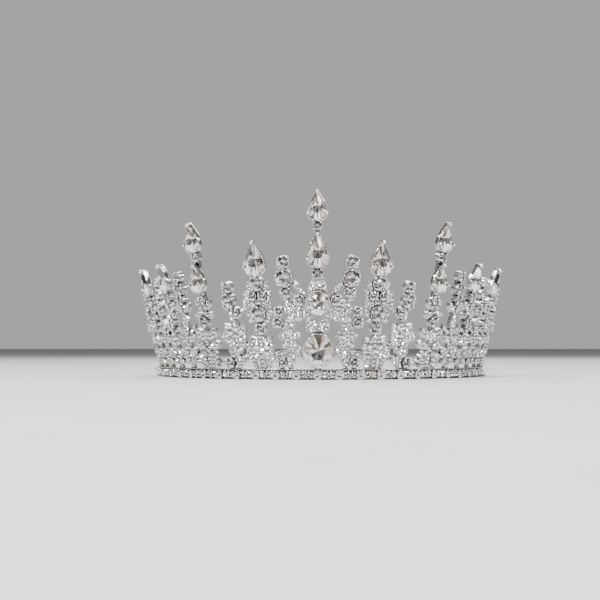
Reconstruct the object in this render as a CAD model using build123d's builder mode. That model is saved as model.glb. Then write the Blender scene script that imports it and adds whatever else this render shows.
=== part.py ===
"""Bridal tiara: an open crystal tiara on a bent band, built from cast panels, claw settings and stones.

Frame: the wearer's front is -Y, +Z is up, the origin is under the middle of the bounding box.
Angles round the wall are in degrees from the front centre, positive towards +X.
Millimetres throughout.
"""
import os
from math import atan2, cos, degrees, hypot, pi, radians, sin, tan

from build123d import *

# ---- band -------------------------------------------------------------------------------------
band_radius = 65.0          # outer face of the band at its bottom edge
band_tail_angle = 8.5       # the band runs this far past the last panel
band_thickness = 1.0
flare_angle = 11.5          # the whole wall leans outward by this much
rail_height = 0.4           # flat wire along the band's top edge, which the panels stand on
rail_width = 1.9

band_stone_radius = 1.4
band_stone_pitch = 6.6      # degrees
spacer_stone_radius = 0.85  # small stones half-way between the large ones
band_cup_depth = 1.1
band_cup_wall = 0.15
band_cup_raise = 0.08       # over the middle of the band, so that the leaning cups clear the floor
band_edge_margin = 0.15     # band left above and below the large cups

loop_hole_radius = 1.25     # eyelets at the band's ends, for a pin or a ribbon
loop_wall = 0.9
loop_thickness = 1.2
loop_neck = 1.6
loop_tab_width = 2.0
loop_foot_gap = 0.05        # under the loop, so that the band's edge stands on the table first

# ---- cast panels ------------------------------------------------------------------------------
panel_thickness = 1.2
leaf_relief = 0.35          # leaves stand this far proud of the panel's face
cup_height = 1.0
cup_wall = 0.35
prong_radius = 0.3
prong_rise = 0.45           # above the cup's rim
prong_gap = 0.06            # between a prong and its stone
tall_panel_top = 90.0       # height that every side panel stays under
centre_panel_top = 31.0     # the centre spire starts here
centre_edge_angle = 3.4     # joint between the centre panel and its neighbours
last_edge_angle = 86.5      # rear edge of the last panel
drawn_rail_top = 3.8        # the pattern's heights are drawn for a rail whose top is here
leaf_fullness = 1.25        # leaves are this much wider than their drawn width
bar_fullness = 1.45         # and stems and arms this much wider than theirs

# ---- stones -----------------------------------------------------------------------------------
seat_clearance = 0.02
pavilion_angle = 98.0       # full angle of the cone under a stone's girdle
seat_bore = 0.45            # through hole of a cup, as a share of its stone's radius
table_share = 0.58          # table width over girdle width
crown_share = 0.30          # crown height over girdle radius
girdle_height = 0.15
culet_share = 0.12
pave_height = 0.55

large_pear_width = 7.4
large_pear_length = 12.0
small_pear_width = 6.8
small_pear_length = 10.0
pear_point = 1.3            # higher is a sharper tip and a lower belly
pear_facets = 12
oval_width = 10.0
oval_length = 12.0
oval_height_above_base = 10.5
centre_round_diameter = 8.0
centre_round_height = 27.3
big_stone_facets = 16
pavilion_depth_share = 0.16  # depth under the girdle over the stone's width
setting_rim = 0.45
setting_depth = 1.7
setting_inner = 0.75        # the rim reaches this far in under the girdle
claw_radius = 0.45
claw_rise = 0.5
big_setting_lift = 0.3      # pads under the oval and the centre round

# ---- columns of the right half, front to back --------------------------------------------------
column_names = ["inner_twin", "front_pear", "outer_twin", "tall_spire", "side_twin",
                "side_pear", "rear_twin", "rear_pear", "end_twin", "end_leaf"]
column_angles = [9.4, 17.5, 26.9, 36.8, 45.5, 52.5, 59.5, 66.5, 74.0, 82.0]

band_height = 2 * (band_stone_radius + band_cup_wall + band_edge_margin)
band_half_angle = last_edge_angle + band_tail_angle
rail_top = band_height + rail_height
pattern_rise = rail_top - drawn_rail_top
slant = tan(radians(flare_angle))
upright = cos(radians(flare_angle))


def wall_radius(height):
    """Distance of the wall's outer face from the upright axis."""
    return band_radius + height * slant


def wall_plane(angle, height=0.0, lift=0.0):
    """Plane on the wall's face: x to the right seen from outside, y up the wall, z outward."""
    a = radians(angle)
    out = Vector(sin(a), -cos(a), 0)
    normal = out * upright - Vector(0, 0, 1) * sin(radians(flare_angle))
    origin = out * wall_radius(height) + Vector(0, 0, height) + normal * lift
    return Plane(origin=origin, x_dir=(cos(a), sin(a), 0), z_dir=normal)


def radial_plane(angle):
    """Upright plane through the axis: x outward at this angle, y up."""
    a = radians(angle)
    return Plane(origin=(0, 0, 0), x_dir=(sin(a), -cos(a), 0), z_dir=(-cos(a), -sin(a), 0))


# Panel k lies between edges[k - 1] and edges[k]; the centre panel lies between -edges[0] and edges[0].
edges = [centre_edge_angle]
edges += [(a + b) / 2 for a, b in zip(column_angles, column_angles[1:])]
edges += [last_edge_angle]

# ---- the pattern, unrolled: (angle, height) on the wall -----------------------------------------
leaves = []   # base angle, base height, direction, length, width
bars = []     # column, angle, height, angle, height, width
cups = []     # column, sideways, height, stone radius
LOW, HIGH = "front edge", "rear edge"  # where a bar meets the next panel's bar
edge_overrun = 0.5  # degrees that such a bar is drawn past the joint before it is trimmed


def place(column, sideways, height):
    """Angle of a point that lies sideways of a column; column 0 is the centre."""
    if sideways == LOW:
        return edges[column - 1] - edge_overrun
    if sideways == HIGH:
        return edges[column] + edge_overrun
    column_angle = ([0.0] + column_angles)[column]
    return column_angle + degrees(atan2(sideways, wall_radius(height)))


def leaf(column, sideways, height, direction, length, width):
    height += pattern_rise
    leaves.append((place(column, sideways, height), height, direction, length, width * leaf_fullness))


def bar(column, points, width):
    raised = [(x, z + pattern_rise) for x, z in points]
    for (x0, z0), (x1, z1) in zip(raised, raised[1:]):
        bars.append((column, place(column, x0, z0), z0, place(column, x1, z1), z1, width * bar_fullness))


def cup(column, sideways, height, radius):
    cups.append((column, sideways, height + pattern_rise, radius))


def fan(column, sideways, height, length, width, half_spread, count):
    """Leaves spread from one point, as a scallop."""
    for i in range(count):
        share = 2 * i / (count - 1) - 1
        reach = length * (1 - 0.12 * abs(share))
        leaf(column, sideways, height, 90 - half_spread * share, reach, width)


def star(column, sideways, height, length, width, count=5, turn=90):
    for i in range(count):
        leaf(column, sideways, height, turn + 360 / count * i, length, width)


def draw_centre():
    bar(0, [(0, drawn_rail_top), (0, 17.0)], 1.6)
    bar(0, [(0, 24.6), (0, centre_panel_top)], 1.6)
    leaf(0, 0.6, 16.8, 50, 8.2, 3.9)
    leaf(0, 5.2, 21.6, 5, 3.2, 1.7)
    bar(0, [(0, 17.0), (4.0, 22.2), (HIGH, 23.0)], 2.2)
    bar(0, [(0, centre_round_height), (HIGH, 28.0)], 1.6)
    bar(0, [(0, 8.6), (HIGH, 8.8)], 1.2)


def draw_inner_twin(k):
    cup(k, 0.1, 41.4, 2.0)
    cup(k, 0.0, 35.9, 2.8)
    cup(k, -0.4, 31.0, 1.8)
    cup(k, -5.1, 28.2, 1.75)
    cup(k, 2.5, 24.2, 1.45)
    cup(k, 2.9, 20.3, 1.6)
    cup(k, 2.1, 6.2, 1.5)
    bar(k, [(0.1, 41.4), (0, 35.9), (-0.4, 31.0), (-1.2, 27.0), (-2.6, 25.0)], 1.7)
    bar(k, [(-0.6, 32.2), (-1.6, 33.6), (-3.2, 34.0), (-4.6, 32.8), (-6.4, 30.2)], 1.3)
    bar(k, [(LOW, 28.0), (-5.1, 28.2), (-3.6, 25.6)], 1.6)
    bar(k, [(LOW, 23.0), (-4.6, 23.4)], 2.2)
    leaf(k, -5.6, 22.0, 50, 8.0, 4.4)
    leaf(k, -3.4, 21.4, -5, 3.8, 1.8)
    leaf(k, -1.2, 24.0, 20, 3.4, 1.6)
    leaf(k, -1.0, 28.0, 40, 3.2, 1.6)
    bar(k, [(-1.4, 24.2), (2.5, 24.2), (2.9, 20.3)], 0.9)
    bar(k, [(-1.6, 20.4), (1.0, 18.4), (2.9, 20.3)], 0.9)
    bar(k, [(-2.6, 22.4), (-1.1, 15.0)], 1.3)
    star(k, -1.1, 14.6, 4.2, 2.3, 5, 90)
    leaf(k, -1.1, 14.6, -90, 4.6, 2.0)
    bar(k, [(-1.1, 15.0), (-2.6, 9.4), (-1.0, 6.6), (-1.0, drawn_rail_top)], 1.3)
    star(k, -2.7, 9.4, 2.9, 1.7, 5, 70)
    star(k, -0.6, 6.6, 2.2, 1.5, 5, 50)
    bar(k, [(-2.6, 9.4), (LOW, 8.8)], 1.2)
    bar(k, [(-0.6, 6.6), (2.1, 6.2), (2.1, drawn_rail_top)], 1.2)
    bar(k, [(-2.6, 9.4), (1.0, 9.6), (HIGH, 8.8)], 1.1)


def draw_front_pear(k):
    cup(k, 0.0, 34.0, 2.2)
    cup(k, -1.95, 29.8, 1.35)
    cup(k, 1.95, 29.8, 1.35)
    cup(k, 0.0, 23.4, 2.4)
    cup(k, -0.3, 18.0, 1.7)
    bar(k, [(0, 43.0), (0, 23.4), (-0.3, 18.0), (-0.3, 12.0)], 1.5)
    bar(k, [(-1.95, 29.8), (1.95, 29.8)], 1.4)
    for side in (-1, 1):
        leaf(k, 1.6 * side, 31.6, 90 - 38 * side, 3.8, 1.7)
        leaf(k, 2.6 * side, 29.4, 90 - 60 * side, 3.4, 1.6)
        bar(k, [(1.4 * side, 29.4), (4.2 * side, 26.6)], 1.2)
        leaf(k, 3.4 * side, 27.2, 90 - 15 * side, 3.0, 1.5)
        leaf(k, 4.2 * side, 26.4, 90 - 55 * side, 3.0, 1.5)
        bar(k, [(2.4 * side, 28.0), (1.6 * side, 24.6)], 1.0)
        leaf(k, 2.2 * side, 23.0, 90 - 75 * side, 2.8, 1.5)
        leaf(k, 1.6 * side, 21.6, 90 - 110 * side, 2.6, 1.4)
    bar(k, [(-4.2, 26.6), (LOW, 24.8)], 1.1)
    bar(k, [(4.2, 26.6), (HIGH, 24.8)], 1.1)
    fan(k, -0.2, 7.8, 9.0, 3.3, 78, 7)
    bar(k, [(-0.2, 8.4), (-0.2, drawn_rail_top)], 1.8)
    bar(k, [(-4.0, 8.6), (-2.4, drawn_rail_top)], 0.9)
    bar(k, [(4.0, 8.6), (2.4, drawn_rail_top)], 0.9)
    bar(k, [(LOW, 8.8), (HIGH, 8.8)], 1.2)


def draw_outer_twin(k):
    cup(k, 0.0, 33.0, 1.75)
    cup(k, 0.0, 28.2, 2.3)
    cup(k, -2.4, 24.4, 1.25)
    cup(k, 1.8, 6.0, 1.5)
    bar(k, [(0, 33.0), (0, 28.2), (-0.6, 23.0), (-1.4, 14.0)], 1.6)
    bar(k, [(-0.6, 24.6), (-2.4, 24.4), (LOW, 24.8)], 1.1)
    leaf(k, 0.2, 24.8, 45, 3.2, 1.5)
    leaf(k, -1.0, 22.0, 150, 3.6, 1.7)
    fan(k, -1.6, 13.4, 8.6, 3.0, 66, 5)
    leaf(k, -1.8, 13.6, -165, 4.6, 2.2)
    leaf(k, -1.4, 13.4, -20, 3.4, 2.0)
    bar(k, [(-1.5, 14.0), (-0.6, 9.6), (-0.6, drawn_rail_top)], 1.4)
    star(k, -0.6, 9.6, 2.8, 1.7, 5, 90)
    bar(k, [(-0.6, 6.2), (1.8, 6.0), (HIGH, 5.6)], 1.2)
    bar(k, [(1.8, 6.0), (1.8, drawn_rail_top)], 1.2)
    bar(k, [(LOW, 8.8), (-2.0, 5.4), (-0.6, drawn_rail_top)], 1.2)
    leaf(k, -4.6, 8.0, -38, 4.6, 2.2)
    bar(k, [(-1.5, 14.0), (-4.4, 12.6)], 1.2)


def draw_tall_spire(k):
    cup(k, 0.0, 44.2, 1.45)
    cup(k, -0.6, 28.6, 1.3)
    cup(k, 0.0, 20.8, 1.7)
    bar(k, [(0, 52.0), (0, 36.0), (-0.6, 28.6), (0, 20.8), (0, drawn_rail_top)], 1.5)
    for side in (-1, 1):
        leaf(k, -0.3 + 0.2 * side, 25.0, 90 - 40 * side, 4.8, 2.0)
        leaf(k, 0.6 * side, 22.8, 90 - 80 * side, 3.8, 1.9)
        leaf(k, 0.4 * side, 13.6, 90 - 42 * side, 6.6, 2.7)
        leaf(k, 0.6 * side, 11.6, 90 - 76 * side, 5.6, 2.6)
        leaf(k, 0.6 * side, 9.4, 90 - 112 * side, 4.6, 2.2)
    leaf(k, 0, 12.0, 90, 6.4, 2.6)
    bar(k, [(0, 9.4), (HIGH, 8.2)], 1.3)
    star(k, -2.9, 6.0, 2.2, 1.6, 5, 20)
    star(k, 2.9, 6.0, 2.2, 1.6, 5, 52)
    bar(k, [(LOW, 5.6), (-2.9, 6.0), (2.9, 6.0), (HIGH, 5.6)], 1.0)


def draw_side_twin(k, top, large):
    """A twin of round stones over dense leaves; used for every twin behind the tall spire."""
    small = large - 0.5
    cup(k, 0.0, top, small)
    cup(k, 0.0, top - 2 * large - 0.55, large)
    cup(k, 0.2, top - 4 * large - 0.7, small)
    low = top - 4 * large - 0.7
    bar(k, [(0, top), (0, low), (0, drawn_rail_top)], 1.5)
    for side in (-1, 1):
        leaf(k, 0.5 * side, low - 4.6, 90 - 40 * side, 4.6, 2.0)
        leaf(k, 0.5 * side, 13.2, 90 - 52 * side, 5.2, 2.4)
        leaf(k, 0.5 * side, 9.8, 90 - 84 * side, 4.4, 2.3)
        leaf(k, 0.5 * side, 7.4, 90 - 122 * side, 3.6, 1.9)
    leaf(k, 0, 13.6, 90, low - 17.0, 2.6)
    bar(k, [(LOW, 8.2), (HIGH, 8.2)], 1.2)
    bar(k, [(LOW, 19.4), (0, 15.6), (HIGH, 19.4)], 1.1)


def draw_side_pear(k, pear_bottom):
    """A pear stone over two small rounds and dense leaves; used behind the tall spire."""
    cup(k, 0.0, pear_bottom - 2.1, 1.6)
    cup(k, 0.0, 20.6, 1.6)
    bar(k, [(0, pear_bottom + 5.0), (0, drawn_rail_top)], 1.5)
    for side in (-1, 1):
        leaf(k, 0.6 * side, pear_bottom - 7.0, 90 - 40 * side, 4.8, 2.0)
        leaf(k, 0.5 * side, 22.6, 90 - 75 * side, 3.6, 1.8)
        leaf(k, 0.5 * side, 12.4, 90 - 46 * side, 5.6, 2.5)
        leaf(k, 0.5 * side, 9.4, 90 - 82 * side, 4.6, 2.4)
        leaf(k, 0.5 * side, 7.2, 90 - 120 * side, 3.6, 1.9)
    leaf(k, 0, 11.6, 90, 6.6, 2.6)
    bar(k, [(LOW, 8.2), (HIGH, 8.2)], 1.2)
    bar(k, [(LOW, 19.4), (0, 17.0), (HIGH, 19.4)], 1.1)


def draw_end_leaf(k):
    """The low last panel, which runs out towards the band's end."""
    cup(k, -2.0, 19.6, 1.5)
    bar(k, [(-2.0, 19.6), (-2.0, drawn_rail_top)], 1.5)
    leaf(k, -1.8, 12.6, 120, 4.4, 2.1)
    leaf(k, -1.6, 12.4, 52, 4.4, 2.1)
    leaf(k, -1.6, 9.6, 20, 5.4, 2.4)
    leaf(k, -2.2, 9.6, 165, 4.2, 2.2)
    bar(k, [(LOW, 8.2), (-2.0, 8.2), (1.4, 6.4), (3.0, drawn_rail_top)], 1.1)
    bar(k, [(LOW, 19.4), (-2.0, 19.6)], 1.1)


draw_centre()
draw_inner_twin(1)
draw_front_pear(2)
draw_outer_twin(3)
draw_tall_spire(4)
draw_side_twin(5, 37.6, 2.0)
draw_side_pear(6, 32.2)
draw_side_twin(7, 36.2, 1.9)
draw_side_pear(8, 31.4)
draw_side_twin(9, 31.6, 1.7)
draw_end_leaf(10)

# column, stone's lowest point above the base, large stone or small one
pears = [(2, 37.0, True), (4, 46.2, False), (4, 31.7, False), (6, 32.6, False), (8, 31.8, False)]
pears = [(k, z + pattern_rise, is_large) for k, z, is_large in pears]
centre_pears = [(55.8 + pattern_rise, False), (39.7 + pattern_rise, True)]
spire_cups = [(54.0 + pattern_rise, 1.35), (37.45 + pattern_rise, 1.7)]
oval_middle = oval_height_above_base + pattern_rise
round_middle = centre_round_height + pattern_rise
spire_foot = centre_panel_top + pattern_rise


# ---- panels -----------------------------------------------------------------------------------
def local_point(angle, height, column_angle):
    """A wall point on the flat face of the panel at column_angle."""
    return (wall_radius(height) * tan(radians(angle - column_angle)), height / upright)


def add_leaves(column_angle, low, high, side=1):
    """Outlines of the leaves that spring from between two angles, on the panel's plane."""
    for angle, height, direction, length, width in leaves:
        if not low <= side * angle <= high:
            continue
        x, y = local_point(side * angle, height, column_angle)
        turn = direction if side > 0 else 180 - direction
        ux, uy = cos(radians(turn)), sin(radians(turn))
        tip = (x + length * ux, y + length * uy)
        middle = (x + 0.45 * length * ux, y + 0.45 * length * uy)
        with BuildLine() as outline:
            ThreePointArc((x, y), (middle[0] - width / 2 * uy, middle[1] + width / 2 * ux), tip)
            ThreePointArc(tip, (middle[0] + width / 2 * uy, middle[1] - width / 2 * ux), (x, y))
        make_face(outline.edges())


def add_bars(column, column_angle, side=1):
    """Stems and arms of one column, as slots on the panel's plane."""
    for k, a0, z0, a1, z1, width in bars:
        if k != column:
            continue
        x0, y0 = local_point(side * a0, z0, column_angle)
        x1, y1 = local_point(side * a1, z1, column_angle)
        with Locations(((x0 + x1) / 2, (y0 + y1) / 2)):
            SlotCenterToCenter(hypot(x1 - x0, y1 - y0), width, rotation=degrees(atan2(y1 - y0, x1 - x0)))


def trim_to_wedge(low, high, top):
    """Keep what lies above the rail and between two upright planes through the axis."""
    reach = 2 * band_radius
    with BuildSketch(Plane.XY.offset(rail_top)) as wedge:
        corners = [(reach * sin(radians(a)), -reach * cos(radians(a))) for a in (low, high)]
        Polygon((0, 0), *corners, align=None)
    extrude(wedge.sketch, amount=top - rail_top, mode=Mode.INTERSECT)


def add_round_cup(plane, x, y, radius, turn=45):
    """A round cup with four prongs and a drilled, countersunk seat on the face of a panel."""
    with BuildSketch(plane.offset(-panel_thickness)) as wall:
        with Locations((x, y)):
            Circle(radius + cup_wall)
    extrude(wall.sketch, amount=panel_thickness + cup_height)
    prong_circle = radius + prong_gap + prong_radius
    with BuildSketch(plane) as prongs:
        with Locations((x, y)):
            with PolarLocations(prong_circle, 4, start_angle=turn):
                Circle(prong_radius)
    extrude(prongs.sketch, amount=cup_height + prong_rise)
    with Locations(plane.offset(cup_height).location * Pos(x, y, 0)):
        CounterSinkHole(radius * seat_bore, radius + seat_clearance,
                        depth=panel_thickness + cup_height + 1, counter_sink_angle=pavilion_angle)


def clear_pear_seats(plane, placed):
    """Room over a panel's face for the collets and claws of its pears."""
    for lowest, is_large in placed:
        width, length = pear_size(is_large)
        claw_spots = pear_claw_spots(width, length)
        with BuildSketch(plane) as seat:
            with Locations((0, lowest / upright + length / 2)):
                Polygon(*pear_outline(width, length, setting_rim + seat_clearance), align=None)
                for x, y in claw_spots:
                    with Locations((x, y)):
                        Circle(claw_radius + seat_clearance)
        extrude(seat.sketch, amount=2 * setting_depth, mode=Mode.SUBTRACT)


def build_panel(column, low, high):
    """One column's casting: trimmed tracery, raised leaves and its cups."""
    column_angle = column_angles[column - 1]
    plane = wall_plane(column_angle)
    with BuildPart() as panel:
        with BuildSketch(plane.offset(-panel_thickness)):
            add_leaves(column_angle, low, high)
            add_bars(column, column_angle)
        extrude(amount=panel_thickness)
        with BuildSketch(plane):
            add_leaves(column_angle, low, high)
        extrude(amount=leaf_relief)
        trim_to_wedge(low, high, tall_panel_top)
        for k, x, z, radius in cups:
            if k == column:
                add_round_cup(plane, x, z / upright, radius)
        clear_pear_seats(plane, [(z, is_large) for k, z, is_large in pears if k == column])
    return panel


def build_centre_panel():
    plane = wall_plane(0)
    edge = centre_edge_angle
    with BuildPart() as panel:
        with BuildSketch(plane.offset(-panel_thickness)):
            for side in (-1, 1):
                add_leaves(0, -edge, edge, side)
                add_bars(0, 0, side)
            with Locations((0, oval_middle / upright)):
                Ellipse(oval_width / 2 - 0.6, oval_length / 2 - 0.6)
            with Locations((0, round_middle / upright)):
                Circle(centre_round_diameter / 2 - 0.2)
        extrude(amount=panel_thickness)
        with BuildSketch(plane):
            for height in (oval_middle, round_middle):
                with Locations((0, height / upright)):
                    Circle(centre_round_diameter / 2 - 0.4)
        extrude(amount=big_setting_lift)
        trim_to_wedge(-edge, edge, spire_foot)
    return panel


def build_centre_spire():
    """The stem over the centre round: a pavé triangle, two splayed wires and two round cups."""
    plane = wall_plane(0)
    foot = spire_foot / upright
    with BuildPart() as spire:
        with BuildSketch(plane.offset(-panel_thickness)):
            Polygon((-3.6, foot - 1), (3.6, foot - 1), (3.2, foot + 1.6), (1.3, foot + 4.0),
                    (-1.3, foot + 4.0), (-3.2, foot + 1.6), align=None)
            for side in (-1, 1):
                with Locations((2.2 * side, foot + 3.2)):
                    SlotCenterToCenter(3.6, 0.8, rotation=90 + 22 * side)
            with Locations((0, foot + 14.5)):
                SlotCenterToCenter(29, 1.6, rotation=90)
        extrude(amount=panel_thickness)
        trim_below = Plane.XY.offset(spire_foot)
        split(bisect_by=trim_below, keep=Keep.TOP)
        for height, radius in spire_cups:
            add_round_cup(plane, 0, height / upright, radius)
        clear_pear_seats(plane, centre_pears)
    return spire


# ---- stones -----------------------------------------------------------------------------------
def round_stone(radius):
    """A round stone: flat table, sloped crown, thin girdle and a conical back."""
    depth = radius / tan(radians(pavilion_angle / 2))
    crown = crown_share * radius
    with BuildPart() as stone:
        with BuildSketch(Plane.XZ):
            Polygon((0, -depth), (radius, 0), (table_share * radius, crown), (0, crown), align=None)
        revolve(axis=Axis.Z)
    return stone.part


def flat_back_stone(radius):
    with BuildPart() as stone:
        with BuildSketch(Plane.XZ):
            Polygon((0, 0), (radius, 0), (radius, 0.3 * pave_height), (0.6 * radius, pave_height),
                    (0, pave_height), align=None)
        revolve(axis=Axis.Z)
    return stone.part


def pear_outline(width, length, grow=0.0):
    """Corners of a pear's outline, tip up, from a teardrop curve; grow moves it outward."""
    steps = [2 * pi * i / pear_facets for i in range(pear_facets)]
    raw = [sin(t) * abs(sin(t / 2)) ** pear_point for t in steps]
    scale = (width / 2 + grow) / max(raw)
    return [(-scale * r, (length / 2 + grow) * cos(t)) for r, t in zip(raw, steps)]


def oval_outline(width, length, grow=0.0):
    steps = [2 * pi * (i + 0.5) / big_stone_facets for i in range(big_stone_facets)]
    return [((width / 2 + grow) * cos(t), (length / 2 + grow) * sin(t)) for t in steps]


def shrink(points, share):
    return [(x * share, y * share) for x, y in points]


def faceted_stone(points, width):
    """A cut stone over an outline: pointed back, thin girdle, flat facets up to the table."""
    crown = crown_share * width / 2
    with BuildPart() as stone:
        with BuildSketch(Plane.XY.offset(-pavilion_depth_share * width)):
            Polygon(*shrink(points, culet_share), align=None)
        with BuildSketch(Plane.XY):
            Polygon(*points, align=None)
        loft(ruled=True)
        with BuildSketch(Plane.XY):
            Polygon(*points, align=None)
        extrude(amount=girdle_height)
        with BuildSketch(Plane.XY.offset(girdle_height)):
            Polygon(*points, align=None)
        with BuildSketch(Plane.XY.offset(girdle_height + crown)):
            Polygon(*shrink(points, table_share), align=None)
        loft(ruled=True)
    return stone.part


def claw_setting(stone, outer, inner, claws):
    """An open collet round a stone with upright claws; its back is at z=0, the girdle on top."""
    with BuildPart() as setting:
        with BuildSketch():
            Polygon(*outer, align=None)
            Polygon(*inner, align=None, mode=Mode.SUBTRACT)
        extrude(amount=setting_depth)
        with BuildSketch():
            with Locations(*claws):
                Circle(claw_radius)
        extrude(amount=setting_depth + girdle_height + claw_rise)
        with Locations((0, 0, setting_depth)):
            add(stone, mode=Mode.SUBTRACT)
    return setting.part


def pear_size(is_large):
    return (large_pear_width, large_pear_length) if is_large else (small_pear_width, small_pear_length)


def pear_claw_spots(width, length):
    """A claw at the tip and two down each side."""
    ring = pear_outline(width, length, claw_radius + prong_gap)
    return [ring[i] for i in (0, 3, 5, pear_facets - 5, pear_facets - 3)]


def pear_pieces(width, length):
    """A pear stone and the collet that holds it, both centred on the stone's outline."""
    stone = faceted_stone(pear_outline(width, length), width)
    setting = claw_setting(stone, pear_outline(width, length, setting_rim),
                           pear_outline(width, length, -setting_inner), pear_claw_spots(width, length))
    return stone, setting


def oval_pieces(width, length, claw_angles):
    stone = faceted_stone(oval_outline(width, length), width)
    reach = claw_radius + prong_gap
    claws = [((width / 2 + reach) * cos(radians(a)), (length / 2 + reach) * sin(radians(a)))
             for a in claw_angles]
    setting = claw_setting(stone, oval_outline(width, length, setting_rim),
                           oval_outline(width, length, -setting_inner), claws)
    return stone, setting


# ---- group helpers and output -------------------------------------------------------------------
pieces = {}


def keep(name, part):
    pieces[name] = part


def group(placed):
    """One part of separate solids from (shape, plane) pairs."""
    with BuildPart() as parts:
        for shape, plane in placed:
            with Locations(plane.location):
                add(shape)
    return parts.part


def mirrored(part):
    with BuildPart() as twin:
        mirror(part, about=Plane.YZ)
    return twin.part


def keep_both_sides(name, part):
    keep(f"right_{name}", part)
    keep(f"left_{name}", mirrored(part))


# ---- band, rail, band cups, end loops -----------------------------------------------------------
with BuildPart() as base_band:
    with BuildSketch(radial_plane(-band_half_angle)):
        top_shift = band_height * slant
        Polygon((band_radius - band_thickness, 0), (band_radius, 0), (band_radius + top_shift, band_height),
                (band_radius - band_thickness + top_shift, band_height), align=None)
    revolve(axis=Axis.Z, revolution_arc=2 * band_half_angle)
keep("base_band", base_band.part)

with BuildPart() as band_rail:
    with BuildSketch(radial_plane(-band_half_angle)):
        middle = wall_radius(band_height) - band_thickness / 2
        with Locations((middle, band_height + rail_height / 2)):
            RectangleRounded(rail_width, rail_height, rail_height * 0.3)
    revolve(axis=Axis.Z, revolution_arc=2 * band_half_angle)
keep("band_rail", band_rail.part)


band_cup_middle = band_height / 2 + band_cup_raise
band_cup_sink = 0.3     # drawn this far into the band, then cut back to its face


def band_cups(angles, radius):
    """A row of cups on the band's face, their backs cut to its curve."""
    with BuildPart() as row:
        for angle in angles:
            plane = wall_plane(angle, band_cup_middle, -band_cup_sink)
            with BuildSketch(plane):
                Circle(radius + band_cup_wall)
            extrude(amount=band_cup_sink + band_cup_depth)
            with Locations(wall_plane(angle, band_cup_middle, band_cup_depth).location):
                CounterSinkHole(radius * seat_bore, radius + seat_clearance,
                                depth=band_cup_depth + 2 * band_cup_sink,
                                counter_sink_angle=pavilion_angle)
        add(base_band.part, mode=Mode.SUBTRACT)
    return row.part


def band_stones(angles, radius):
    """Stones of one row, their points drilled away where they would meet the band."""
    stone = round_stone(radius)
    placed = [(stone, wall_plane(angle, band_cup_middle, band_cup_depth)) for angle in angles]
    with BuildPart() as row:
        for shape, plane in placed:
            with Locations(plane.location):
                add(shape)
        add(base_band.part, mode=Mode.SUBTRACT)
    return row.part


stone_count = int(band_half_angle / band_stone_pitch - 0.3)
large_angles = [band_stone_pitch * i for i in range(-stone_count, stone_count + 1)]
spacer_angles = [a + band_stone_pitch / 2 for a in large_angles[:-1]]
keep("band_cups_large", band_cups(large_angles, band_stone_radius))
keep("band_stones_large", band_stones(large_angles, band_stone_radius))
keep("band_cups_small", band_cups(spacer_angles, spacer_stone_radius))
keep("band_stones_small", band_stones(spacer_angles, spacer_stone_radius))

loop_outer = loop_hole_radius + loop_wall
with BuildPart() as end_loop:
    loop_middle = wall_radius(loop_outer + loop_foot_gap) - band_thickness / 2
    a = radians(band_half_angle)
    end_plane = Plane(
        origin=(loop_middle * sin(a), -loop_middle * cos(a), loop_outer + loop_foot_gap),
        x_dir=(cos(a), sin(a), 0), z_dir=(sin(a), -cos(a), 0))
    reach = loop_neck + loop_outer
    with BuildSketch(end_plane.offset(-loop_thickness / 2)):
        with Locations((reach, 0)):
            Circle(loop_outer)
        with Locations((reach / 2, 0)):
            Rectangle(reach, loop_tab_width)
        with Locations((reach, 0)):
            Circle(loop_hole_radius, mode=Mode.SUBTRACT)
    extrude(amount=loop_thickness)
keep_both_sides("end_loop", end_loop.part)

# ---- panels ------------------------------------------------------------------------------------
keep("centre_panel", build_centre_panel().part)
keep("centre_spire", build_centre_spire().part)
for number, name in enumerate(column_names, start=1):
    casting = build_panel(number, edges[number - 1], edges[number])
    keep_both_sides(f"{name}_panel", casting.part)

# ---- stones on the panels -----------------------------------------------------------------------
stone_radii = sorted({radius for _, _, _, radius in cups} | {radius for _, radius in spire_cups})
round_stones = {radius: round_stone(radius) for radius in stone_radii}


def panel_plane(column, x, height, lift):
    """Plane on a panel's flat face, x sideways of its column."""
    column_angle = ([0.0] + column_angles)[column]
    plane = wall_plane(column_angle, height, lift)
    return Plane(origin=plane.origin + plane.x_dir * x, x_dir=plane.x_dir, z_dir=plane.z_dir)


front = [(round_stones[r], panel_plane(k, x, z, cup_height)) for k, x, z, r in cups if k <= 4]
rear = [(round_stones[r], panel_plane(k, x, z, cup_height)) for k, x, z, r in cups if k > 4]
keep_both_sides("front_round_stones", group(front))
keep_both_sides("rear_round_stones", group(rear))
keep("spire_round_stones",
     group([(round_stones[r], panel_plane(0, 0, z, cup_height)) for z, r in spire_cups]))

large_pear, large_collet = pear_pieces(*pear_size(True))
small_pear, small_collet = pear_pieces(*pear_size(False))


def pear_plane(column, lowest, is_large, lift):
    _, length = pear_size(is_large)
    return panel_plane(column, 0, lowest + length / 2 * upright, lift)


keep_both_sides("pear_stones", group(
    [(large_pear if big else small_pear, pear_plane(k, z, big, setting_depth)) for k, z, big in pears]))
keep_both_sides("pear_settings", group(
    [(large_collet if big else small_collet, pear_plane(k, z, big, 0)) for k, z, big in pears]))
for label, (lowest, is_large) in zip(("upper", "lower"), centre_pears):
    stone, collet = (large_pear, large_collet) if is_large else (small_pear, small_collet)
    keep(f"centre_{label}_pear_stone", group([(stone, pear_plane(0, lowest, is_large, setting_depth))]))
    keep(f"centre_{label}_pear_setting", group([(collet, pear_plane(0, lowest, is_large, 0))]))

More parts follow.
